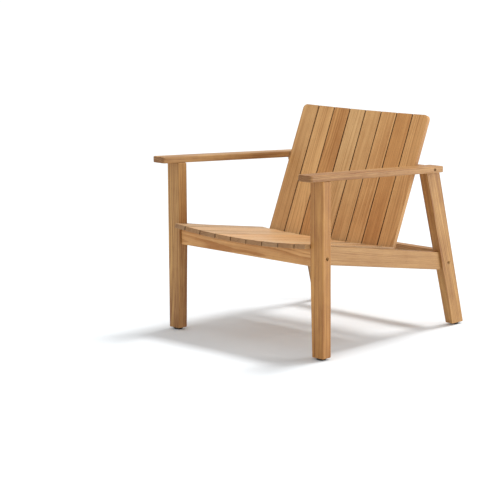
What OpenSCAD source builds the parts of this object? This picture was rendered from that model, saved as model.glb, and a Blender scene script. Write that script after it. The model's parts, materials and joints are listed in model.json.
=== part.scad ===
// Low outdoor lounge chair in the adirondack manner, built from solid boards.
// Two glued side frames (front leg, side rail, rear leg, armrest) are held apart by
// bolted cross rails; the seat and the back are separate slats screwed to scribed rails.
// The front legs stand square, the side rails and the armrests run inwards to the rear.
// Lengths are millimetres. +Z is up, the sitter faces -Y, and "left" is the sitter's left (+X).
// Y is measured from the front faces of the front legs, and every piece is then moved back
// by mid_y, so the origin lies on the floor under the middle of the chair.

/* [Overall] */
// Width over the outer faces of the front legs
chair_w = 700; // [699:1:710]
// Height of the armrest underside at the front legs
arm_z = 566; // [550:1:580]
// Height of the top edge of the back
back_top_z = 718; // [700:1:780]

/* [Legs] */
// Width of a front leg, seen from the front
front_leg_w = 55; // [50:0.5:56]
// Depth of a front leg
front_leg_t = 36; // [34:1:40]
// How much the inner side of a front leg narrows at the foot
front_leg_taper = 7.5; // [0:0.5:10]
// Height at which that taper starts
taper_z = 280; // [200:5:290]
// Thickness of a rear leg at the armrest, seen from the front
rear_leg_w = 34; // [33:0.5:36]
// Inset of a rear leg at the armrest from the front leg's outer face
rear_leg_inset = 35.5; // [34:0.5:37]
// How far the outer face of a rear leg spreads towards the floor
rear_leg_splay = 6; // [0:0.5:8]
// How much thinner a rear leg is at the floor
rear_leg_taper = 4.5; // [0:0.5:6]
// Where the front face of a rear leg would meet the floor
rear_leg_y = 682; // [678:1:690]
// Backward run of a rear leg for each millimetre of height
rear_leg_run = 0.261; // [0.255:0.001:0.265]
// Depth of a rear leg at the floor
rear_leg_foot = 58.5; // [56:0.5:60]
// Depth of a rear leg at the armrest
rear_leg_head = 66; // [64:1:68]
// Height of the plastic glides under the legs
glide_h = 6; // [4:0.5:8]

/* [Armrests] */
// Width of an armrest
arm_w = 57; // [55:0.5:58]
// Thickness of an armrest
arm_t = 21; // [19:1:24]
// Overhang of an armrest in front of the front leg
arm_front = 61; // [55:1:80]
// Y of the rear end of an armrest
arm_rear = 603; // [600:1:615]
// Fall of the armrests for each millimetre towards the rear
arm_fall = 0.057; // [0.05:0.001:0.06]
// Overhang of the armrest's outer front corner past the front leg's outer face
arm_overhang = 6.5; // [6:0.5:8]
// Angle by which the armrests turn inwards to the rear
arm_turn = 1.75; // [1.7:0.05:1.8]
// Radius of the rounded front corners of the armrests
arm_corner = 10; // [8:1:24]

/* [Rails] */
// Height of the side rail's top edge, carried on to the front faces of the front legs
side_top_z = 364.5; // [363:0.5:366]
// Fall of the side rails for each millimetre towards the rear
side_fall = 0.17; // [0.168:0.001:0.172]
// Height of a side rail
side_h = 60; // [56:1:64]
// Thickness of a side rail
side_t = 20; // [19:0.5:21]
// Inset of the side rail's outer face from the leg's outer face, at the front leg
side_inset = 18.5; // [18:0.5:19]
// Inward run of the side rails for each millimetre towards the rear
side_run = 0.0365; // [0.035:0.0005:0.037]
// Height of the front rail's underside
front_rail_z = 293; // [288:1:296]
// Inset of the front rail behind the front legs' front faces
front_rail_inset = 8; // [6:0.5:9]
// Thickness of the front rail and of the two rails under the seat
rail_t = 24; // [22:1:26]
// Height of the rear rail's level top
rear_rail_z = 262.5; // [261:0.5:264]
// Height of the rear rail, along the slope of the rear legs
rear_rail_h = 70; // [67:1:72]
// Y of the top front edge of the rear rail
rear_rail_y = 630; // [629:0.5:631]
// Thickness of the rear rail
rear_rail_t = 30; // [26:1:32]
// Height of the two rails under the seat, at their ends
seat_rail_h = 40; // [36:1:42]

/* [Seat] */
// Distance between the middles of neighbouring seat slats
seat_pitch = 70.2; // [69.5:0.1:70.5]
// Outer edge of the outermost seat slat, from the middle of the chair
seat_half_w = 293; // [290:0.5:293]
// Thickness of every slat
slat_t = 15; // [13:0.5:16]
// Gap between neighbouring slats
slat_gap = 3.5; // [3:0.5:5]
// Overhang of the seat slats in front of the front legs
seat_front = 20; // [14:1:26]
// Height of the seat's front edge in the middle
seat_mid_z = 353; // [351:0.5:354]
// Rise of the seat's front edge from its middle to its sides
seat_dish = 15; // [10:0.5:16]
// Height of the seat at the foot of the back, in the middle
seat_back_z = 294; // [292:0.5:294]
// Rise of the seat from its middle to its sides at the foot of the back
seat_back_dish = 6.5; // [5:0.5:7]

/* [Back] */
// Half the width of the back
back_half_w = 279; // [276:0.5:279]
// Y of the back's front face at 300 mm above the floor
back_y = 413; // [412:0.5:414]
// Backward run of the back for each millimetre of height
back_run = 0.425; // [0.423:0.001:0.428]
// Depth of the hollow across the back
back_dish = 8; // [0:0.5:9]
// Height of the lower ends of the back slats
back_foot_z = 260; // [256:1:264]
// Radius of the rounded outer top corners
back_corner = 16; // [6:1:24]

/* [Fasteners] */
// Shank diameter of the frame bolts
bolt_d = 6; // [5:0.5:6.5]
// Diameter of the counterbores in the legs
counterbore_d = 12; // [11:0.5:13]
// Diameter of the dowels in the cross rails
dowel_d = 8; // [6:0.5:9]
// Diameter of the glides under the front legs
front_glide_d = 33; // [26:1:34]
// Diameter of the glides under the rear legs
rear_glide_d = 26; // [20:1:28]

/* [Hidden] */
$fn = 48;

far = 1000;
leg_x = chair_w / 2;
front_leg_in = leg_x - front_leg_w;
seat_n = 9;
back_n = 8;
seat_slat_w = seat_pitch - slat_gap;
back_pitch = (2 * back_half_w + slat_gap) / back_n;
back_slat_w = back_pitch - slat_gap;
back_tilt = atan(back_run);
back_foot_s = (back_foot_z - 300) / cos(back_tilt);
back_top_s = (back_top_z - 300) / cos(back_tilt);
head_run = rear_leg_run - (rear_leg_head - rear_leg_foot) / arm_z;
rear_most = rear_leg_y + rear_leg_foot - head_run * glide_h;
mid_y = (rear_most - arm_front) / 2;
sides = [1, -1];

// Y of the two rails under the seat. The screws stand square to the sloping slats, so they
// start behind the middle of each rail and lean forward on their way down.
middle_rail_y = 188;
rear_seat_rail_y = 358;
screw_shift = 20;
screw_ys = [front_rail_inset + 19.5, middle_rail_y + screw_shift, rear_seat_rail_y + screw_shift + 2];
seat_slat_end_y = 399;
seat_slope_span = back_y + seat_front;
// Side overlap of the cutters that shape the rails under neighbouring slats
cutter_lap = 2;

// Rails behind the back slats, along the slope from the 300 mm level
foot_rail_h = 45;
foot_rail_t = 30;
foot_rail_top_z = 292;
foot_rail_s = (foot_rail_top_z - 300) / cos(back_tilt) - foot_rail_h;
batten_h = 40;
batten_t = 24;
batten_half_w = 256;
batten_middle_s = (561 - 300) / cos(back_tilt);
batten_top_s = (650 - 300) / cos(back_tilt);
back_screw_ss = [foot_rail_s + foot_rail_h / 2, batten_middle_s + 24, batten_top_s + batten_h / 2];

// Axes of the barrel nuts: to the rear in the front rail, forward in the rear rail, down in
// the cross rail between the armrests
front_nut_angle = -90;
rear_nut_angle = 90 + atan(rear_leg_run);
arm_nut_angle = 180 - atan(arm_fall);
nut_hole = 40;

// Bolt places, as [y, z] on the outer faces
front_bolt = [front_rail_inset + rail_t / 2, 322];
rear_bolt = [659, 219];
arm_bolt_y = 557;
arm_bolt = [arm_bolt_y, arm_under(arm_bolt_y) + arm_t / 2];
head_d = 10;
head_h = 6;
socket_w = 5;
socket_deep = 3.5;
// How far a bolt passes its barrel nut's axis
bolt_past = 9;
leg_counterbore = 12;
arm_counterbore_d = 10.4;
nut_d = 12;
nut_l = 18;
nut_depth = 32;
// Length of a bolt hole, inwards from the joint between leg or armrest and cross rail
bolt_reach = 44;

// Dowel places at the side faces, as [y, z]
front_dowels = [[20, 305], [20, 338]];
rear_dowels = [[652, 246]];
middle_dowels = [[200, 293], [200, 310]];
seat_rear_dowels = [[370, 267], [370, 284]];
foot_dowels = [[432, 268], [423, 246]];
leg_dowel_l = 36;
side_cross_dowel_l = 30;
side_dowel_front_zs = [312, 340];
side_dowel_rear_zs = [215, 242];
side_dowel_l = 44;
front_arm_dowel_xs = [front_leg_in + 14, leg_x - 18];
rear_arm_dowel_ys = [572, 591];
arm_dowel_d = 10;
arm_dowel_up = 12;
arm_dowel_down = 24;

// Nails through the glides, in the middle of each foot
front_foot_x = leg_x - (front_leg_w - front_leg_taper) / 2;
rear_foot_x = (rear_in(glide_h) + rear_out(glide_h)) / 2;
rear_foot_y = rear_leg_y + rear_leg_foot / 2;
nail_d = 2.5;
nail_l = 18;
nail_head_d = 6;
nail_head_h = 2;
nail_recess = 2;

// Screws
screw_d = 4;
screw_head_d = 8;
screw_head_h = 2.5;
seat_screw_l = 36;
back_screw_l = 25;
batten_screw_l = 32;
screw_bite = 10;

// Heights and depths along the frame
function arm_under(y) = arm_z - arm_fall * y;
function side_top(y) = side_top_z - side_fall * y;
function rear_leg_front(z) = rear_leg_y - rear_leg_run * z;
function rear_leg_back(z) = rear_leg_y + rear_leg_foot - head_run * z;

// Outer and inner faces of the leaning rear legs at height z
function rear_out(z) = leg_x - rear_leg_inset + rear_leg_splay * (1 - z / arm_z);
function rear_in(z) = rear_out(z) - rear_leg_w + rear_leg_taper * (1 - z / arm_z);

// Outer and inner faces of the armrests and of the side rails at depth y
function arm_out(y) = leg_x + arm_overhang - tan(arm_turn) * (y + arm_front);
function arm_in(y) = arm_out(y) - arm_w / cos(arm_turn);
function side_out(y) = leg_x - side_inset - side_run * (y - front_leg_t);
function side_in(y) = side_out(y) - side_t;

// Point where the line y = y0 - run * z meets the line z = z0 - fall * y
function meet(y0, run, z0, fall) =
    let (z = (z0 - fall * y0) / (1 - fall * run)) [y0 - run * z, z];

// Seat slats: number, place across, width, height and slopes
function seat_outer(i) = i == 1 || i == seat_n;
function seat_side(i) = i <= seat_n / 2 ? -1 : 1;
function seat_inner_edge() = (seat_n - 2) * seat_pitch / 2 + slat_gap / 2;
function seat_x(i) = seat_outer(i) ? seat_side(i) * (seat_inner_edge() + seat_half_w) / 2
                                   : (i - (seat_n + 1) / 2) * seat_pitch;
function seat_w(i) = seat_outer(i) ? seat_half_w - seat_inner_edge() : seat_slat_w;
function seat_front_z(x) = seat_mid_z + seat_dish * pow(x / seat_half_w, 2);
function seat_rear_z(x) = seat_back_z + seat_back_dish * pow(x / seat_half_w, 2);
function seat_slope(x) = (seat_rear_z(x) - seat_front_z(x)) / seat_slope_span;
function seat_under(x, y) = seat_front_z(x) + seat_slope(x) * (y + seat_front) - slat_t;
function seat_roll(x) = 2 * x * (0.75 * seat_dish + 0.25 * seat_back_dish) / pow(seat_half_w, 2);

// Back slats: place across and depth of the hollow
function back_x(i) = (i - (back_n + 1) / 2) * back_pitch;
function back_hollow(x) = back_dish * (1 - pow(x / back_half_w, 2));
function back_turn(x) = -2 * back_dish * x / pow(back_half_w, 2);

// Outline in Y and Z, drawn from x0 to x1
module side_prism(x0, x1, outline) {
    translate([x0, 0, 0])
        rotate([90, 0, 90])
            linear_extrude(x1 - x0)
                polygon(outline);
}

// Outline in X and Z, drawn from y0 to y1
module front_prism(y0, y1, outline) {
    translate([0, y1, 0])
        rotate([90, 0, 0])
            linear_extrude(y1 - y0)
                polygon(outline);
}

// Cylinder along +X from a point given as x and [y, z]
module x_rod(x, yz, l, d) {
    translate([x, yz[0], yz[1]])
        rotate([0, 90, 0])
            cylinder(h = l, d = d);
}

// The same thing on the left (+X) or mirrored to the right
module on_side(side) {
    translate([0, -mid_y, 0])
        mirror([side < 0 ? 1 : 0, 0, 0])
            children();
}

module centred() {
    translate([0, -mid_y, 0])
        children();
}

// Slab between the armrests' undersides and tops
module arm_layer(x0, x1) {
    front = -arm_front - 20;
    rear = arm_rear + 20;
    side_prism(x0, x1, [
        [front, arm_under(front)], [rear, arm_under(rear)],
        [rear, arm_under(rear) + arm_t], [front, arm_under(front) + arm_t]
    ]);
}

// Frame of one seat slat: origin on its upper face at the front end
module seat_place(i) {
    x = seat_x(i);
    translate([x, -seat_front, seat_front_z(x)])
        rotate([atan(seat_slope(x)), -atan(seat_roll(x)), 0])
            children();
}

// Space taken by the seat slats and all above them
module above_seat() {
    for (i = [1 : seat_n]) {
        w = seat_outer(i) ? 2 * seat_pitch : seat_pitch + cutter_lap;
        reach = seat_pitch - (seat_w(i) + slat_gap + cutter_lap) / 2;
        shift = seat_outer(i) ? seat_side(i) * reach : 0;
        seat_place(i)
            translate([shift - w / 2, -60, -slat_t])
                cube([w, 600, 60]);
    }
}

// Frame of the back: origin at 300 mm above the floor, Z along the slope, Y to the rear
module back_frame() {
    translate([0, back_y, 300])
        rotate([-back_tilt, 0, 0])
            children();
}

// Frame of one back slat: origin in the middle of its front face
module back_place(i) {
    x = back_x(i);
    translate([x, back_hollow(x), 0])
        rotate([0, 0, atan(back_turn(x))])
            children();
}

// Space taken by the back slats and all in front of them
module before_back() {
    w = back_pitch + cutter_lap;
    for (i = [1 : back_n])
        back_place(i)
            translate([-w / 2, -60, -100])
                cube([w, 60 + slat_t, 700]);
}

// Dowels of the front and the rear rail, through the legs' inner faces
module leg_cross_dowels() {
    for (p = front_dowels)
        x_rod(front_leg_in - leg_dowel_l / 2, p, leg_dowel_l, dowel_d);
    for (p = rear_dowels)
        x_rod(rear_in(p[1]) - leg_dowel_l / 2, p, leg_dowel_l, dowel_d);
}

// Dowels of the three rails between the side rails, through the side rails' inner faces
module side_cross_dowels() {
    for (p = concat(middle_dowels, seat_rear_dowels, foot_dowels))
        x_rod(side_in(p[0]) - side_cross_dowel_l / 2, p, side_cross_dowel_l, dowel_d);
}

// Bolt hole through the joint plane at x_in, with a counterbore from the face at x_out
module bolt_hole(x_in, x_out, yz, d) {
    x_rod(x_in - bolt_reach, yz, far, bolt_d + 0.5);
    x_rod(x_out - leg_counterbore, yz, far, d);
}

module front_bolt_hole() {
    bolt_hole(front_leg_in, leg_x, front_bolt, counterbore_d);
}

module rear_bolt_hole() {
    bolt_hole(rear_in(rear_bolt[1]), rear_out(rear_bolt[1]), rear_bolt, counterbore_d);
}

module arm_bolt_hole() {
    bolt_hole(arm_in(arm_bolt_y), arm_out(arm_bolt_y), arm_bolt, arm_counterbore_d);
}

module front_nut(open = 0) {
    nut_at(front_leg_in, front_bolt, front_nut_angle, open);
}

module rear_nut(open = 0) {
    nut_at(rear_in(rear_bolt[1]), rear_bolt, rear_nut_angle, open);
}

module arm_nut(open = 0) {
    nut_at(arm_in(arm_bolt_y), arm_bolt, arm_nut_angle, open);
}

// Barrel nut across a rail, at its own depth behind the joint plane at x. The angle turns
// its axis from +Z: the hole is drilled along that axis and stays open at that end.
module nut_at(x, yz, angle, open) {
    translate([x - nut_depth, yz[0], yz[1]])
        rotate([angle, 0, 0])
            translate([0, 0, -nut_l / 2])
                cylinder(h = nut_l + open, d = nut_d);
}

module side_dowel(y, z) {
    translate([(side_in(y) + side_out(y)) / 2, y - side_dowel_l / 2, z])
        rotate([-90, 0, 0])
            cylinder(h = side_dowel_l, d = arm_dowel_d);
}

// All dowels between the side rail and its two legs
module side_rail_dowel_set() {
    for (z = side_dowel_front_zs)
        side_dowel(front_leg_t, z);
    for (z = side_dowel_rear_zs)
        side_dowel(rear_leg_front(z), z);
}

// All dowels between one armrest and its two legs
module armrest_dowel_set() {
    for (x = front_arm_dowel_xs)
        arm_dowel(x, front_leg_t / 2);
    for (y = rear_arm_dowel_ys)
        arm_dowel((rear_in(arm_z) + rear_out(arm_z)) / 2, y);
}

module arm_dowel(x, y) {
    translate([x, y, arm_under(y) - arm_dowel_down])
        cylinder(h = arm_dowel_down + arm_dowel_up, d = arm_dowel_d);
}

module front_glide_places() {
    for (side = sides)
        on_side(side)
            translate([front_foot_x, front_leg_t / 2, 0])
                children();
}

module rear_glide_places() {
    for (side = sides)
        on_side(side)
            translate([rear_foot_x, rear_foot_y, 0])
                children();
}

module nail_hole(x, y) {
    translate([x, y, glide_h - 1])
        cylinder(h = nail_l, d = nail_d);
}

module front_leg() {
    foot_in = front_leg_in + front_leg_taper;
    difference() {
        intersection() {
            front_prism(-1, front_leg_t + 1, [
                [front_leg_in, taper_z], [foot_in, glide_h],
                [leg_x, glide_h], [leg_x, arm_z + 10], [front_leg_in, arm_z + 10]
            ]);
            side_prism(0, far, [
                [0, 0], [front_leg_t, 0],
                [front_leg_t, arm_under(front_leg_t)], [0, arm_under(0)]
            ]);
        }
        front_bolt_hole();
        leg_cross_dowels();
        side_rail_dowel_set();
        armrest_dowel_set();
        nail_hole(front_foot_x, front_leg_t / 2);
    }
}

module rear_leg() {
    difference() {
        intersection() {
            side_prism(0, far, [
                [rear_leg_front(glide_h), glide_h], [rear_leg_back(glide_h), glide_h],
                meet(rear_leg_y + rear_leg_foot, head_run, arm_z, arm_fall),
                meet(rear_leg_y, rear_leg_run, arm_z, arm_fall)
            ]);
            front_prism(0, far, [
                [rear_in(0), 0], [rear_out(0), 0], [rear_out(arm_z), arm_z], [rear_in(arm_z), arm_z]
            ]);
        }
        rear_bolt_hole();
        leg_cross_dowels();
        side_rail_dowel_set();
        armrest_dowel_set();
        nail_hole(rear_foot_x, rear_foot_y);
    }
}

// Plan of an armrest: the inner front corner at the origin, the long side along +Y
module armrest_plan() {
    l = (arm_rear + arm_front) / cos(arm_turn);
    rear_r = 5;
    translate([0, arm_corner])
        square([arm_w, l - arm_corner - rear_r]);
    translate([arm_corner, 0])
        square([arm_w - 2 * arm_corner, l / 2]);
    translate([rear_r, l / 2])
        square([arm_w - 2 * rear_r, l / 2]);
    for (x = [arm_corner, arm_w - arm_corner])
        translate([x, arm_corner])
            circle(r = arm_corner);
    for (x = [rear_r, arm_w - rear_r])
        translate([x, l - rear_r])
            circle(r = rear_r);
}

module armrest() {
    difference() {
        intersection() {
            arm_layer(0, far);
            linear_extrude(far)
                translate([arm_out(-arm_front), -arm_front])
                    rotate(arm_turn)
                        translate([-arm_w, 0])
                            armrest_plan();
        }
        arm_bolt_hole();
        armrest_dowel_set();
    }
}

module side_rail() {
    difference() {
        intersection() {
            side_prism(0, far, [
                [front_leg_t, side_top(front_leg_t) - side_h],
                meet(rear_leg_y, rear_leg_run, side_top_z - side_h, side_fall),
                meet(rear_leg_y, rear_leg_run, side_top_z, side_fall),
                [front_leg_t, side_top(front_leg_t)]
            ]);
            linear_extrude(far)
                polygon([[side_in(0), 0], [side_out(0), 0], [side_out(far), far], [side_in(far), far]]);
        }
        side_rail_dowel_set();
        side_cross_dowels();
    }
}

// Space between the two side rails
module between_sides() {
    linear_extrude(far)
        polygon([[-side_in(0), 0], [side_in(0), 0], [side_in(far), far], [-side_in(far), far]]);
}

// Holes from below for the seat screws at one support
module seat_screw_holes(y) {
    for (i = [1 : seat_n])
        seat_screw_place(i, y) {
            translate([0, 0, -far / 2])
                cylinder(h = far / 2, d = screw_head_d + 1);
            cylinder(h = seat_screw_l, d = screw_d);
        }
}

// Frame of one seat screw: origin under its head, Z up into the slat
module seat_screw_place(i, y) {
    seat_place(i)
        translate([0, y + seat_front, screw_bite - slat_t - seat_screw_l])
            children();
}

// Frame of one back screw: origin under its head, Z forward into the slat
module back_screw_place(i, s) {
    back_frame()
        back_place(i)
            translate([0, slat_t - screw_bite + back_screw_l, s])
                rotate([90, 0, 0])
                    children();
}

module back_screw_holes(s) {
    for (i = [1 : back_n])
        back_screw_place(i, s) {
            translate([0, 0, -far / 2])
                cylinder(h = far / 2, d = screw_head_d + 1);
            cylinder(h = back_screw_l, d = screw_d);
        }
}

module screw(l) {
    translate([0, 0, -screw_head_h])
        cylinder(h = screw_head_h, d = screw_head_d);
    cylinder(h = l, d = screw_d);
}

module front_rail() {
    end_z = seat_under(front_leg_in, front_rail_inset);
    color("peru")
        centred()
            difference() {
                translate([-front_leg_in, front_rail_inset, front_rail_z])
                    cube([2 * front_leg_in, rail_t, end_z - front_rail_z]);
                above_seat();
                seat_screw_holes(screw_ys[0]);
                for (side = [0, 1])
                    mirror([side, 0, 0]) {
                        front_bolt_hole();
                        leg_cross_dowels();
                        front_nut(nut_hole);
                    }
            }
}

module rear_rail() {
    tilt = atan(rear_leg_run);
    color("peru")
        centred()
            difference() {
                intersection() {
                    translate([-leg_x, rear_rail_y, rear_rail_z])
                        rotate([tilt, 0, 0])
                            translate([0, 0, -rear_rail_h])
                                cube([2 * leg_x, rear_rail_t, rear_rail_h]);
                    front_prism(0, far, [
                        [-rear_in(0), 0], [rear_in(0), 0],
                        [rear_in(rear_rail_z), rear_rail_z], [-rear_in(rear_rail_z), rear_rail_z]
                    ]);
                }
                for (side = [0, 1])
                    mirror([side, 0, 0]) {
                        rear_bolt_hole();
                        leg_cross_dowels();
                        rear_nut(nut_hole);
                    }
            }
}

module arm_cross_rail() {
    front_y = 540;
    rear_y = 574;
    hollow = back_dish / cos(back_tilt);
    steps = 8;
    front_edge = [for (k = [-steps : steps])
        [k * arm_in(front_y) / steps, front_y + hollow * (1 - pow(k / steps, 2))]];
    color("peru")
        centred()
            difference() {
                intersection() {
                    arm_layer(-leg_x, leg_x);
                    linear_extrude(far)
                        polygon(concat(front_edge, [[arm_in(rear_y), rear_y], [-arm_in(rear_y), rear_y]]));
                }
                for (side = [0, 1])
                    mirror([side, 0, 0]) {
                        arm_bolt_hole();
                        arm_nut(nut_hole);
                    }
                batten_screw_set();
                batten_screw_heads();
            }
}

// Rail under the seat between the side rails
module seat_rail(y, screw_y) {
    x = side_in(y);
    color("peru")
        centred()
            difference() {
                intersection() {
                    translate([-x, y, seat_under(x, y) - seat_rail_h])
                        cube([2 * x, rail_t, seat_rail_h]);
                    between_sides();
                }
                above_seat();
                seat_screw_holes(screw_y);
                for (side = [0, 1])
                    mirror([side, 0, 0])
                        side_cross_dowels();
            }
}

module seat_slat(i) {
    w = seat_w(i);
    l = (seat_slat_end_y + seat_front) / cos(atan(seat_slope(seat_x(i))));
    color("burlywood")
        centred()
            difference() {
                seat_place(i)
                    translate([-w / 2, 0, -slat_t])
                        cube([w, l, slat_t]);
                for (y = screw_ys)
                    seat_screw_place(i, y)
                        cylinder(h = seat_screw_l, d = screw_d);
            }
}

// Flat shape of a back slat, seen from the front, with round outer top corners on the end slats
module back_slat_shape(i) {
    w = back_slat_w;
    l = back_top_s - back_foot_s;
    if (i == 1 || i == back_n) {
        side = i == 1 ? -1 : 1;
        mirror([side < 0 ? 1 : 0, 0])
            union() {
                translate([-w / 2, 0])
                    square([w, l - back_corner]);
                translate([-w / 2, 0])
                    square([w - back_corner, l]);
                translate([w / 2 - back_corner, l - back_corner])
                    circle(r = back_corner);
            }
    } else {
        translate([-w / 2, 0])
            square([w, l]);
    }
}

module back_slat(i) {
    color("burlywood")
        centred()
            difference() {
                back_frame()
                    back_place(i)
                        translate([0, slat_t, back_foot_s])
                            rotate([90, 0, 0])
                                linear_extrude(slat_t)
                                    back_slat_shape(i);
                for (s = back_screw_ss)
                    back_screw_place(i, s)
                        cylinder(h = back_screw_l, d = screw_d);
            }
}

module back_foot_rail() {
    color("peru")
        centred()
            difference() {
                intersection() {
                    back_frame()
                        difference() {
                            translate([-leg_x, slat_t, foot_rail_s])
                                cube([2 * leg_x, foot_rail_t, foot_rail_h]);
                            before_back();
                        }
                    between_sides();
                }
                back_screw_holes(back_screw_ss[0]);
                for (side = [0, 1])
                    mirror([side, 0, 0])
                        side_cross_dowels();
            }
}

// Batten behind the back slats, from height s along the slope; the middle one is scribed
// to the cross rail between the armrests and screwed to it
module back_batten(s, screw_s) {
    color("peru")
        centred()
            difference() {
                back_frame()
                    difference() {
                        translate([-batten_half_w, slat_t, s])
                            cube([2 * batten_half_w, batten_t, batten_h]);
                        before_back();
                    }
                back_screw_holes(screw_s);
                arm_layer(-leg_x, leg_x);
                batten_screw_set();
            }
}

// Frames of the screws that hold the middle batten down on that cross rail
module batten_screw_places() {
    y = 559;
    for (x = [-180, 0, 180])
        translate([x, y, arm_under(y) + screw_head_h + 1])
            children();
}

module batten_screw_set() {
    batten_screw_places()
        screw(batten_screw_l);
}

module batten_screw_heads() {
    batten_screw_places()
        translate([0, 0, -far / 2])
            cylinder(h = far / 2, d = screw_head_d + 1);
}

// Plastic glide with a recess for the head of its nail
module glide(d) {
    difference() {
        cylinder(h = glide_h, d1 = d - 4, d2 = d);
        translate([0, 0, -1])
            cylinder(h = nail_recess + nail_head_h + 1, d = nail_head_d);
        cylinder(h = glide_h + 1, d = nail_d);
    }
}

module nail() {
    translate([0, 0, nail_recess])
        cylinder(h = nail_head_h, d = nail_head_d);
    translate([0, 0, nail_recess])
        cylinder(h = nail_l, d = nail_d);
}

module foot_glides() {
    color("dimgray") {
        front_glide_places()
            glide(front_glide_d);
        rear_glide_places()
            glide(rear_glide_d);
    }
}

module glide_nails() {
    color("silver") {
        front_glide_places()
            nail();
        rear_glide_places()
            nail();
    }
}

// Bolt with a round socket head; x is the seat of the head
module frame_bolt(x, yz, l) {
    difference() {
        union() {
            x_rod(x, yz, head_h, head_d);
            x_rod(x - l, yz, l, bolt_d);
        }
        translate([x + head_h - socket_deep, yz[0], yz[1]])
            rotate([0, 90, 0])
                cylinder(h = socket_deep + 1, d = socket_w / cos(30), $fn = 6);
    }
}

module front_rail_bolts() {
    color("silver")
        for (side = sides)
            on_side(side)
                frame_bolt(leg_x - leg_counterbore, front_bolt,
                           front_leg_w - leg_counterbore + nut_depth + bolt_past);
}

module rear_rail_bolts() {
    rear_bolt_seat = rear_out(rear_bolt[1]) - leg_counterbore;
    color("silver")
        for (side = sides)
            on_side(side)
                frame_bolt(rear_bolt_seat, rear_bolt,
                           rear_bolt_seat - rear_in(rear_bolt[1]) + nut_depth + bolt_past);
}

module arm_rail_bolts() {
    color("silver")
        for (side = sides)
            on_side(side)
                frame_bolt(arm_out(arm_bolt_y) - leg_counterbore, arm_bolt,
                           arm_w - leg_counterbore + nut_depth + bolt_past);
}

module barrel_nuts() {
    color("silver")
        for (side = sides)
            on_side(side)
                difference() {
                    union() {
                        front_nut();
                        rear_nut();
                        arm_nut();
                    }
                    for (yz = [front_bolt, rear_bolt, arm_bolt])
                        x_rod(0, yz, far, bolt_d);
                }
}

module side_rail_dowels() {
    color("wheat")
        for (side = sides)
            on_side(side)
                side_rail_dowel_set();
}

module armrest_dowels() {
    color("wheat")
        for (side = sides)
            on_side(side)
                armrest_dowel_set();
}

module cross_rail_dowels() {
    color("wheat")
        for (side = sides)
            on_side(side) {
                leg_cross_dowels();
                side_cross_dowels();
            }
}

module seat_screws() {
    color("silver")
        centred()
            for (i = [1 : seat_n], y = screw_ys)
                seat_screw_place(i, y)
                    screw(seat_screw_l);
}

module back_screws() {
    color("silver")
        centred()
            for (i = [1 : back_n], s = back_screw_ss)
                back_screw_place(i, s)
                    screw(back_screw_l);
}

module batten_screws() {
    color("silver")
        centred()
            batten_screw_set();
}

module front_leg_on(side) {
    color("tan")
        on_side(side)
            front_leg();
}

module rear_leg_on(side) {
    color("tan")
        on_side(side)
            rear_leg();
}

module armrest_on(side) {
    color("burlywood")
        on_side(side)
            armrest();
}

module side_rail_on(side) {
    color("tan")
        on_side(side)
            side_rail();
}

front_leg_on(1);  // front_leg_left
front_leg_on(-1);  // front_leg_right
rear_leg_on(1);  // rear_leg_left
rear_leg_on(-1);  // rear_leg_right
armrest_on(1);  // armrest_left
armrest_on(-1);  // armrest_right
side_rail_on(1);  // side_rail_left
side_rail_on(-1);  // side_rail_right
front_rail();
rear_rail();
arm_cross_rail();
back_foot_rail();
seat_rail(middle_rail_y, screw_ys[1]);  // seat_rail_middle
seat_rail(rear_seat_rail_y, screw_ys[2]);  // seat_rail_rear
seat_slat(1);  // seat_slat_1
seat_slat(2);  // seat_slat_2
seat_slat(3);  // seat_slat_3
seat_slat(4);  // seat_slat_4
seat_slat(5);  // seat_slat_5
seat_slat(6);  // seat_slat_6
seat_slat(7);  // seat_slat_7
seat_slat(8);  // seat_slat_8
seat_slat(9);  // seat_slat_9
back_slat(1);  // back_slat_1
back_slat(2);  // back_slat_2
back_slat(3);  // back_slat_3
back_slat(4);  // back_slat_4
back_slat(5);  // back_slat_5
back_slat(6);  // back_slat_6
back_slat(7);  // back_slat_7
back_slat(8);  // back_slat_8
back_batten(batten_top_s, back_screw_ss[2]);  // back_batten_top
back_batten(batten_middle_s, back_screw_ss[1]);  // back_batten_middle
foot_glides();
glide_nails();
front_rail_bolts();
rear_rail_bolts();
arm_rail_bolts();
barrel_nuts();
side_rail_dowels();
armrest_dowels();
cross_rail_dowels();
seat_screws();
back_screws();
batten_screws();
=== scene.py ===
import json
import math
import random

import bpy
import numpy as np
from mathutils import Matrix, Vector


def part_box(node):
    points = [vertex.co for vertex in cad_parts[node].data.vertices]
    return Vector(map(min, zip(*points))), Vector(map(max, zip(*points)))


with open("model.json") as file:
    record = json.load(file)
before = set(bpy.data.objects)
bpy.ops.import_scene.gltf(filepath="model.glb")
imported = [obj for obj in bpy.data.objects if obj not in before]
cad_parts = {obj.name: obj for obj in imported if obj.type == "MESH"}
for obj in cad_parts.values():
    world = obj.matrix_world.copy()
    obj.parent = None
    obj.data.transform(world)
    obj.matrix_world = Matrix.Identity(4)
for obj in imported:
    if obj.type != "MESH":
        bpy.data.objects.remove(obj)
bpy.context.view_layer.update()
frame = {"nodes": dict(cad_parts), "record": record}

NODES = frame["nodes"]
SLOT_OF = {row["node"]: row["material_slot"] for row in frame["record"]["subparts"]}
MM = 0.001


# ------------------------------------------------------------------ camera

# place in metres; turn to the left of +Y, tilt upwards and roll in degrees; lens and sensor in millimetres
CAMERA_PLACE = (4.2165, -4.5745, 1.3932)
CAMERA_YAW, CAMERA_PITCH, CAMERA_ROLL = 44.643, -10.267, -0.362
CAMERA_LENS = 136.08
CAMERA_SENSOR = 36
CAMERA_REACH = 200


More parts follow.
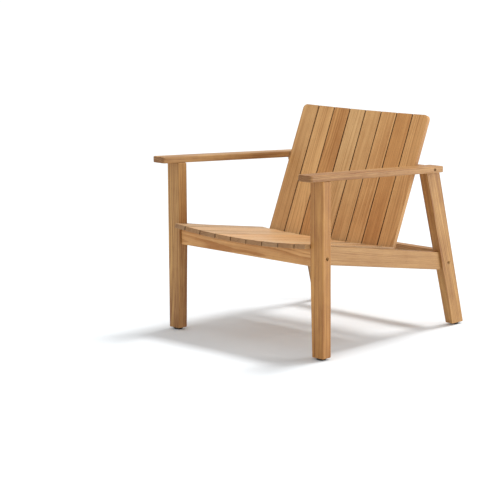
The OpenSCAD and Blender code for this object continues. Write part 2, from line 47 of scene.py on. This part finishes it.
def add_camera():
    """A long lens from the front left, a little above the chair, level to about a third of a degree."""
    place = Vector(CAMERA_PLACE)
    yaw, pitch, roll = (math.radians(a) for a in (CAMERA_YAW, CAMERA_PITCH, CAMERA_ROLL))
    ahead = Vector((-math.sin(yaw) * math.cos(pitch), math.cos(yaw) * math.cos(pitch), math.sin(pitch)))
    right = Vector((math.cos(yaw), math.sin(yaw), 0))
    up = right.cross(ahead)
    x = math.cos(roll) * right + math.sin(roll) * up
    y = math.cos(roll) * up - math.sin(roll) * right
    data = bpy.data.cameras.new("camera")
    data.sensor_width = CAMERA_SENSOR
    data.lens = CAMERA_LENS
    data.clip_end = CAMERA_REACH
    camera = bpy.data.objects.new("camera", data)
    camera.matrix_world = Matrix.Translation(place) @ Matrix((x, y, -ahead)).transposed().to_4x4()
    bpy.context.scene.collection.objects.link(camera)
    bpy.context.scene.camera = camera


# ------------------------------------------------------------------ shader helpers

class Tree:
    """Short hands for building a node tree."""

    def __init__(self, tree):
        self.tree = tree

    def node(self, kind, settings=None, **inputs):
        made = self.tree.nodes.new(kind)
        for key, value in (settings or {}).items():
            setattr(made, key, value)
        for key, value in inputs.items():
            self.feed(made.inputs[key.replace("_", " ")], value)
        return made

    def feed(self, socket, value):
        if isinstance(value, bpy.types.NodeSocket):
            self.tree.links.new(value, socket)
        else:
            socket.default_value = value

    def math(self, operation, *values, clamp=False):
        made = self.node("ShaderNodeMath", {"operation": operation, "use_clamp": clamp})
        for socket, value in zip(made.inputs, values):
            self.feed(socket, value)
        return made.outputs[0]

    def vector(self, operation, *values):
        made = self.node("ShaderNodeVectorMath", {"operation": operation})
        for socket, value in zip(made.inputs, values):
            self.feed(socket, value)
        return made.outputs["Value" if operation in ("DOT_PRODUCT", "LENGTH") else "Vector"]

    def total(self, *pairs):
        """The sum of some values, each times its weight."""
        weighted = [self.math("MULTIPLY", value, weight) for value, weight in pairs]
        result = weighted[0]
        for value in weighted[1:]:
            result = self.math("ADD", result, value)
        return result

    def noise(self, where, scale=1.0, detail=2.0, roughness=0.5, colour=False):
        made = self.node("ShaderNodeTexNoise", None,
                         Vector=where, Scale=scale, Detail=detail, Roughness=roughness)
        return made.outputs["Color" if colour else "Fac"]

    def band(self, value, low, high, to_low=0.0, to_high=1.0):
        """A soft step from to_low to to_high while value goes from low to high."""
        made = self.node("ShaderNodeMapRange", {"interpolation_type": "SMOOTHSTEP"})
        for socket, item in zip(made.inputs, (value, low, high, to_low, to_high)):
            self.feed(socket, item)
        return made.outputs["Result"]

    def mix(self, factor, first, second):
        made = self.node("ShaderNodeMix", {"data_type": "RGBA", "blend_type": "MIX"})
        for socket, item in zip((made.inputs[0], made.inputs[6], made.inputs[7]), (factor, first, second)):
            self.feed(socket, item)
        return made.outputs[2]

    def bump(self, shader, height, strength, depth):
        made = self.node("ShaderNodeBump", None, Height=height, Strength=strength, Distance=depth)
        self.feed(shader.inputs["Normal"], made.outputs[0])


def rgba(red, green, blue):
    """A colour named by its usual 0 to 255 screen values, as linear light."""
    def linear(value):
        value /= 255
        return value / 12.92 if value <= 0.04045 else ((value + 0.055) / 1.055) ** 2.4
    return (linear(red), linear(green), linear(blue), 1)


def new_material(name):
    """A new material, the hands for its node tree, and its shader."""
    material = bpy.data.materials.new(name)
    material.use_nodes = True
    return material, Tree(material.node_tree), material.node_tree.nodes["Principled BSDF"]


# ------------------------------------------------------------------ wood

# in metres: from one growth ring to the next, and how far the rings wander, slowly and finely
RING_WIDTH = 0.0042
RING_WANDER = (0.0, 0.030, 0.030)
RING_WANDER_FINE = (0.0, 0.0030, 0.0030)
HALF = (0.5, 0.5, 0.5)
PORE_COLOUR = (96, 54, 26)
END_COLOURS = ((138, 94, 58), (92, 58, 32))
# the colour of the painted shade on the side faces inside the narrow gaps between slats
PAINTED_SHADE_COLOUR = (66, 33, 14)


def wood_group():
    """Solid wood. The vector has X along the grain and the pith at Y = Z = 0, in metres."""
    group = bpy.data.node_groups.new("solid_wood", "ShaderNodeTree")
    face = group.interface
    for name, kind in (
        ("Vector", "NodeSocketVector"), ("End", "NodeSocketFloat"), ("Seed", "NodeSocketFloat"),
        ("Light", "NodeSocketColor"), ("Dark", "NodeSocketColor"), ("Contrast", "NodeSocketFloat"),
        ("Grime", "NodeSocketFloat"),
    ):
        face.new_socket(name=name, in_out="INPUT", socket_type=kind)
    for name, kind in (
        ("Color", "NodeSocketColor"), ("Roughness", "NodeSocketFloat"), ("Height", "NodeSocketFloat"),
    ):
        face.new_socket(name=name, in_out="OUTPUT", socket_type=kind)
    t = Tree(group)
    given = t.node("NodeGroupInput")
    result = t.node("NodeGroupOutput")
    where, end, seed = (given.outputs[name] for name in ("Vector", "End", "Seed"))
    shift = t.node("ShaderNodeCombineXYZ", None, X=seed, Y=seed)

    def stretched(along, across, extra=0.0):
        """Noise places with so many features a metre along and across the grain; extra tells layers apart."""
        moved = t.vector("ADD", where, shift.outputs[0])
        moved = t.vector("ADD", moved, (extra, extra, extra))
        return t.vector("MULTIPLY", moved, (along, across, across))

    # growth rings round the pith, wandering along the board
    wander = t.noise(stretched(1.3, 6.0), detail=2.0, colour=True)
    wander = t.vector("MULTIPLY", t.vector("SUBTRACT", wander, HALF), RING_WANDER)
    fine = t.noise(stretched(5.0, 45.0, 3.1), detail=3.0, colour=True)
    fine = t.vector("MULTIPLY", t.vector("SUBTRACT", fine, HALF), RING_WANDER_FINE)
    ring_place = t.vector("MULTIPLY", t.vector("ADD", t.vector("ADD", where, wander), fine), (0.0, 1.0, 1.0))
    radius = t.vector("LENGTH", ring_place)
    ring_key = t.node("ShaderNodeCombineXYZ", None, X=radius, Y=seed)
    uneven = t.noise(ring_key.outputs[0], scale=90.0, detail=1.0)
    saw = t.math("FRACT", t.total((radius, 1 / RING_WIDTH), (uneven, 2.6)))
    late = t.math("MULTIPLY", t.band(saw, 0.25, 0.86), t.band(saw, 0.90, 1.0, 1.0, 0.0))

    # streaks, fibres, pores, and light and dark patches
    streak = t.band(t.noise(stretched(2.4, 95.0, 7.7), detail=4.0, roughness=0.6), 0.32, 0.70)
    fibre = t.band(t.noise(stretched(9.0, 620.0, 1.9), detail=3.0, roughness=0.65), 0.28, 0.74)
    pores = t.band(t.noise(stretched(95.0, 2300.0, 5.3), detail=1.0), 0.60, 0.70)
    pores = t.math("MULTIPLY", pores, t.band(late, 0.0, 0.8, 0.55, 1.0))
    cloud = t.band(t.noise(stretched(2.1, 11.0, 11.3), detail=3.0), 0.30, 0.72)
    ribbon = t.band(t.noise(stretched(16.0, 30.0, 17.9), detail=2.0), 0.35, 0.68)

    dark = t.total((late, 0.34), (streak, 0.30), (fibre, 0.20), (cloud, 0.34), (ribbon, 0.10))
    dark = t.math("MULTIPLY", t.math("SUBTRACT", dark, 0.24), given.outputs["Contrast"], clamp=True)
    colour = t.mix(dark, given.outputs["Light"], given.outputs["Dark"])
    colour = t.mix(t.math("MULTIPLY", pores, 0.38), colour, rgba(*PORE_COLOUR))
    # end grain soaks up more oil and dirt
    end_colour = t.mix(late, *(rgba(*colour) for colour in END_COLOURS))
    colour = t.mix(t.math("MULTIPLY", end, 0.62), colour, end_colour)
    # painted shade on the edges inside the narrow gaps, patchy, standing in for the shade that falls there
    painted_shade = t.math("MULTIPLY", given.outputs["Grime"], t.band(cloud, 0.0, 1.0, 0.62, 0.80))
    colour = t.mix(painted_shade, colour, rgba(*PAINTED_SHADE_COLOUR))
    t.feed(result.inputs["Color"], colour)

    rough = t.total((fibre, 0.10), (pores, 0.12), (cloud, 0.06), (end, 0.15))
    t.feed(result.inputs["Roughness"], t.math("ADD", rough, 0.42))
    t.feed(result.inputs["Height"], t.total((fibre, 0.35), (late, 0.45), (pores, -0.9)))
    return group


# light and dark wood of each stain, as screen values
STAINS = {
    "frame": ((194, 148, 88), (130, 80, 38)),
    "arm": ((192, 150, 98), (128, 80, 42)),
    "rail": ((194, 149, 94), (138, 89, 46)),
    "seat": ((210, 172, 126), (158, 112, 70)),
    # the back's wood is painted lighter than the other boards, as painted light standing in for a fill light
    # from the front; the front rail uses this colour too
    "back": ((228, 180, 120), (174, 118, 62)),
    "dowel": ((214, 180, 134), (190, 148, 102)),
}


def tinted(colour, tone, warmth):
    """A screen colour made lighter by tone and shifted towards orange by warmth."""
    red, green, blue = colour
    return rgba(red * tone * (1 + 0.5 * warmth),
                green * tone * (1 - 0.1 * warmth),
                blue * tone * (1 - warmth))


def wood(name, group, stain, grain, middle, pith, seed, tone=1.0, warmth=0.0, contrast=1.0, gaps=()):
    """Grain is the board's long direction. Pith is how far the tree's middle lies off the board's middle,
    across it, in metres. Gaps holds pairs of a side, 1 for +X and -1 for -X, and how much painted shade
    darkens that side face."""
    material, t, shader = new_material(name)
    place = t.node("ShaderNodeTexCoord")
    turn = grain.to_track_quat("X", "Z").to_euler()
    core = middle + turn.to_matrix() @ Vector((0, pith[0], pith[1]))
    mapping = t.node("ShaderNodeMapping", {"vector_type": "TEXTURE"}, Vector=place.outputs["Object"],
                     Location=core, Rotation=turn)
    facing = t.math("ABSOLUTE", t.vector("DOT_PRODUCT", place.outputs["Normal"], tuple(grain)))
    # painted shade on the side faces that look into a gap
    painted_shade = 0.0
    for side, amount in gaps:
        towards = t.vector("DOT_PRODUCT", place.outputs["Normal"], (side, 0, 0))
        painted_shade = t.math("ADD", painted_shade, t.band(towards, 0.55, 0.9, 0.0, amount))
    light, dark = STAINS[stain]
    solid = t.node("ShaderNodeGroup", {"node_tree": group}, Vector=mapping.outputs[0],
                   End=t.band(facing, 0.55, 0.92), Seed=seed, Contrast=contrast, Grime=painted_shade,
                   Light=tinted(light, tone, warmth), Dark=tinted(dark, tone, warmth))
    t.feed(shader.inputs["Base Color"], solid.outputs["Color"])
    t.feed(shader.inputs["Roughness"], solid.outputs["Roughness"])
    t.bump(shader, solid.outputs["Height"], 0.35, 0.0004)
    shader.inputs["Specular IOR Level"].default_value = 0.35
    return material


# ------------------------------------------------------------------ metal and plastic

def steel(name, colour, grease, roughness):
    """Plated or stainless steel with fine turning marks and dull, greasy spots."""
    material, t, shader = new_material(name)
    where = t.node("ShaderNodeTexCoord").outputs["Object"]
    spots = t.band(t.noise(where, scale=420.0, detail=4.0), 0.45, 0.68)
    marks = t.noise(t.vector("MULTIPLY", where, (9000.0, 600.0, 600.0)), detail=2.0)
    t.feed(shader.inputs["Base Color"], t.mix(spots, colour, grease))
    t.feed(shader.inputs["Roughness"], t.total((spots, 0.22), (marks, roughness)))
    t.bump(shader, marks, 0.2, 0.0001)
    shader.inputs["Metallic"].default_value = 1.0
    return material


def plastic(name):
    """Moulded dark plastic with a fine eroded texture and pale scuffs."""
    material, t, shader = new_material(name)
    where = t.node("ShaderNodeTexCoord").outputs["Object"]
    skin = t.noise(where, scale=1900.0, detail=3.0)
    scuff = t.band(t.noise(where, scale=230.0, detail=5.0), 0.52, 0.70)
    t.feed(shader.inputs["Base Color"], t.mix(scuff, rgba(44, 40, 36), rgba(92, 84, 74)))
    t.feed(shader.inputs["Roughness"], t.total((skin, 0.3), (scuff, 0.2)))
    t.bump(shader, skin, 0.5, 0.0002)
    return material


# ------------------------------------------------------------------ eased edges

# an edge between two faces is eased when they meet more sharply than this
SHARPER_THAN = math.radians(32)
# a joined run of sharp edges no wider than this is the rim of a hole
WIDEST_HOLE = 24 * MM
# points closer than this, in metres, are one point
SAME_POINT = 1e-5


def mark_long_edges(mesh):
    """A point attribute: 1 on the board's own edges, 0 on the rims of its holes, which stay crisp."""
    count = len(mesh.vertices)
    places = np.empty(count * 3)
    mesh.vertices.foreach_get("co", places)
    places = places.reshape(-1, 3)
    _, joined = np.unique(np.round(places / SAME_POINT).astype(np.int64), axis=0, return_inverse=True)
    joined = joined.ravel()
    faces_of = {}
    for face in mesh.polygons:
        ring = [int(joined[v]) for v in face.vertices]
        for a, b in zip(ring, ring[1:] + ring[:1]):
            faces_of.setdefault((min(a, b), max(a, b)), []).append(face.normal.copy())
    leader = list(range(int(joined.max()) + 1))

    def lead(v):
        while leader[v] != v:
            leader[v] = leader[leader[v]]
            v = leader[v]
        return v

    on_edge = set()
    for (a, b), normals in faces_of.items():
        if len(normals) == 2 and a != b and normals[0].angle(normals[1], 0.0) > SHARPER_THAN:
            leader[lead(a)] = lead(b)
            on_edge.update((a, b))
    spread = {}
    for v in range(count):
        j = int(joined[v])
        if j in on_edge:
            spread.setdefault(lead(j), []).append(places[v])
    long_ones = {k for k, group in spread.items()
                 if np.linalg.norm(np.ptp(np.array(group), axis=0)) > WIDEST_HOLE}
    values = [1.0 if int(j) in on_edge and lead(int(j)) in long_ones else 0.0 for j in joined]
    mark = mesh.attributes.new("own_edge", "FLOAT", "POINT")
    mark.data.foreach_set("value", values)


def edge_picker():
    """Geometry nodes that give the bevel its weights: 1 on convex sharp edges between marked points."""
    group = bpy.data.node_groups.new("edges_to_ease", "GeometryNodeTree")
    group.interface.new_socket(name="Geometry", in_out="INPUT", socket_type="NodeSocketGeometry")
    group.interface.new_socket(name="Geometry", in_out="OUTPUT", socket_type="NodeSocketGeometry")
    make, link = group.nodes.new, group.links.new
    given, result = make("NodeGroupInput"), make("NodeGroupOutput")
    angle = make("GeometryNodeInputMeshEdgeAngle")
    sharp = make("FunctionNodeCompare")
    sharp.inputs["B"].default_value = SHARPER_THAN
    link(angle.outputs["Signed Angle"], sharp.inputs["A"])
    mark = make("GeometryNodeInputNamedAttribute")
    mark.inputs["Name"].default_value = "own_edge"
    ends = make("GeometryNodeFieldOnDomain")
    ends.domain = "EDGE"
    link(mark.outputs["Attribute"], ends.inputs[0])
    own = make("FunctionNodeCompare")
    own.inputs["B"].default_value = 0.99
    link(ends.outputs[0], own.inputs["A"])
    both = make("FunctionNodeBooleanMath")
    link(sharp.outputs[0], both.inputs[0])
    link(own.outputs[0], both.inputs[1])
    store = make("GeometryNodeStoreNamedAttribute")
    store.data_type, store.domain = "FLOAT", "EDGE"
    store.inputs["Name"].default_value = "bevel_weight_edge"
    link(given.outputs[0], store.inputs["Geometry"])
    link(both.outputs[0], store.inputs["Value"])
    link(store.outputs[0], result.inputs[0])
    return group


def ease(node, picker, width):
    """Rounds a board's long edges by width metres, without touching its own mesh."""
    thing = NODES[node]
    mark_long_edges(thing.data)
    weld = thing.modifiers.new("weld", "WELD")
    weld.merge_threshold = SAME_POINT
    flat = thing.modifiers.new("flat_faces", "DECIMATE")
    flat.decimate_type = "DISSOLVE"
    flat.angle_limit = math.radians(0.05)
    pick = thing.modifiers.new("pick", "NODES")
    pick.node_group = picker
    bevel = thing.modifiers.new("ease", "BEVEL")
    bevel.limit_method = "WEIGHT"
    bevel.width = width
    bevel.segments = 3
    bevel.use_clamp_overlap = False
    bevel.miter_outer = "MITER_ARC"
    normals = thing.modifiers.new("normals", "WEIGHTED_NORMAL")
    normals.keep_sharp = False
    normals.weight = 100


# ------------------------------------------------------------------ dress the nodes

def direction(*parts):
    return Vector(parts).normalized()


# which way the grain runs
UP = direction(0, 0, 1)
ACROSS = direction(1, 0, 0)
REAR_LEG = direction(0, -0.261, 1)
ARM = direction(0, 1, -0.057)
SIDE_RAIL = direction(0, 1, -0.17)
SEAT = direction(0, 1, -0.145)
BACK = direction(0, 0.425, 1)

# node name start: grain, stain, easing in mm, spread of tone, contrast
BOARDS = (
    ("front_leg", UP, "frame", 3.0, 0.03, 1.35),
    ("rear_leg", REAR_LEG, "frame", 3.0, 0.03, 1.35),
    ("armrest", ARM, "arm", 3.0, 0.03, 1.2),
    ("side_rail", SIDE_RAIL, "rail", 2.5, 0.03, 1.0),
    ("front_rail", ACROSS, "back", 2.0, 0.02, 1.3),
    ("rear_rail", ACROSS, "rail", 2.0, 0.03, 1.1),
    ("arm_cross_rail", ACROSS, "rail", 2.0, 0.03, 1.1),
    ("back_foot_rail", ACROSS, "rail", 2.0, 0.03, 1.1),
    ("seat_rail", ACROSS, "rail", 2.0, 0.03, 1.1),
    ("back_batten", ACROSS, "rail", 2.0, 0.03, 1.1),
    ("seat_slat", SEAT, "seat", 1.2, 0.04, 1.0),
    ("back_slat", BACK, "back", 1.2, 0.05, 1.15),
)
# the back slats one by one, from the sitter's right to the left
BACK_TONES = (1.00, 1.00, 0.93, 1.03, 1.02, 1.03, 0.92, 0.98)
BACK_WARMTH = (0.0, 0.02, 0.10, -0.03, 0.0, 0.02, 0.12, 0.05)


# painted shade on the outermost slats' outer side faces, weaker than inside the gaps
OUTER_PAINTED_SHADE = 0.3


def gap_sides(node):
    """How much painted shade darkens a slat's side faces: most where it has a neighbour, less on the
    outermost edges.
    """
    family, _, number = node.rpartition("_")
    if not family.endswith("slat"):
        return ()
    count = sum(other.startswith(family) for other in NODES)
    return tuple((side, OUTER_PAINTED_SHADE if int(number) == last else 1.0) for side, last in ((-1, 1), (1, count)))


# how far the tree's middle lies from a board's middle, in metres, and the spread of warmth
PITH_REACH = (0.05, 0.13)
WARMTH_SPREAD = (-0.05, 0.07)
DOWEL_PITH = (0.04, 0.03)


def dress():
    """Gives every node its material, and eases the boards' edges."""
    draw = random.Random(41)
    group = wood_group()
    picker = edge_picker()
    for node, thing in sorted(NODES.items()):
        slot = SLOT_OF[node]
        low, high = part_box(node)
        middle = (low + high) / 2
        if slot == "dowel_wood":
            material = wood(node, group, "dowel", ACROSS, middle, DOWEL_PITH, 3.0, contrast=0.7)
        elif slot.endswith("_wood"):
            row = next(row for row in BOARDS if node.startswith(row[0]))
            _, grain, stain, width, spread, contrast = row
            angle = draw.uniform(0, 2 * math.pi)
            reach = draw.uniform(*PITH_REACH)
            pith = (reach * math.cos(angle), reach * math.sin(angle))
            tone, warmth = 1 + draw.uniform(-spread, spread), draw.uniform(*WARMTH_SPREAD)
            if node.startswith("back_slat"):
                place = int(node.rsplit("_", 1)[1]) - 1
                tone, warmth = BACK_TONES[place], BACK_WARMTH[place]
            seed = draw.uniform(0, 50)
            material = wood(node, group, stain, grain, middle, pith, seed, tone, warmth, contrast,
                            gap_sides(node))
            ease(node, picker, width * MM)
        elif slot == "glide_plastic":
            material = plastic(node)
        elif slot == "bolt_steel":
            material = steel(node, rgba(120, 116, 110), rgba(66, 60, 54), 0.35)
        else:
            material = steel(node, rgba(176, 174, 168), rgba(120, 116, 108), 0.3)
        thing.data.materials.clear()
        thing.data.materials.append(material)


# ------------------------------------------------------------------ floor and light

FLOOR_HALF = 40.0
FLOOR_COLOUR = (0.825, 0.86, 0.885, 1)


def floor():
    """A plain pale floor, dull enough to show no mirror image of the chair."""
    corners = [(x * FLOOR_HALF, y * FLOOR_HALF, 0) for x, y in ((-1, -1), (1, -1), (1, 1), (-1, 1))]
    mesh = bpy.data.meshes.new("floor")
    mesh.from_pydata(corners, [], [(0, 1, 2, 3)])
    thing = bpy.data.objects.new("floor", mesh)
    bpy.context.scene.collection.objects.link(thing)
    material, _, shader = new_material("floor")
    shader.inputs["Base Color"].default_value = FLOOR_COLOUR
    shader.inputs["Roughness"].default_value = 0.9
    shader.inputs["Specular IOR Level"].default_value = 0.1
    mesh.materials.append(material)


def sun(name, towards, strength, angle):
    """A distant light, angle degrees wide for soft shadows; towards points from the chair to it."""
    data = bpy.data.lights.new(name, "SUN")
    data.energy = strength
    data.angle = math.radians(angle)
    thing = bpy.data.objects.new(name, data)
    thing.rotation_euler = Vector(towards).to_track_quat("Z", "Y").to_euler()
    bpy.context.scene.collection.objects.link(thing)


def area_light(name, place, aim, size, power):
    """A round soft light, size metres across."""
    data = bpy.data.lights.new(name, "AREA")
    data.shape = "DISK"
    data.size = size
    data.energy = power
    thing = bpy.data.objects.new(name, data)
    thing.location = place
    thing.rotation_euler = (Vector(aim) - Vector(place)).to_track_quat("-Z", "Y").to_euler()
    bpy.context.scene.collection.objects.link(thing)


def lights():
    """Even white light all round, one key from above and behind, and a weak side light from behind."""
    world = bpy.data.worlds.new("studio")
    bpy.context.scene.world = world
    world.use_nodes = True
    shader = world.node_tree.nodes["Background"]
    shader.inputs["Color"].default_value = (1.0, 1.0, 1.0, 1)
    shader.inputs["Strength"].default_value = 0.72
    sun("key", (0.05, 0.33, 0.94), 1.9, 13)
    area_light("side", (3.4, 3.4, 1.3), (0, 0, 0.4), 2.6, 95)


def main():
    add_camera()
    dress()
    floor()
    lights()
    scene = bpy.context.scene
    scene.view_settings.view_transform = "Standard"
    scene.view_settings.look = "None"


main()
bpy.context.view_layer.update()
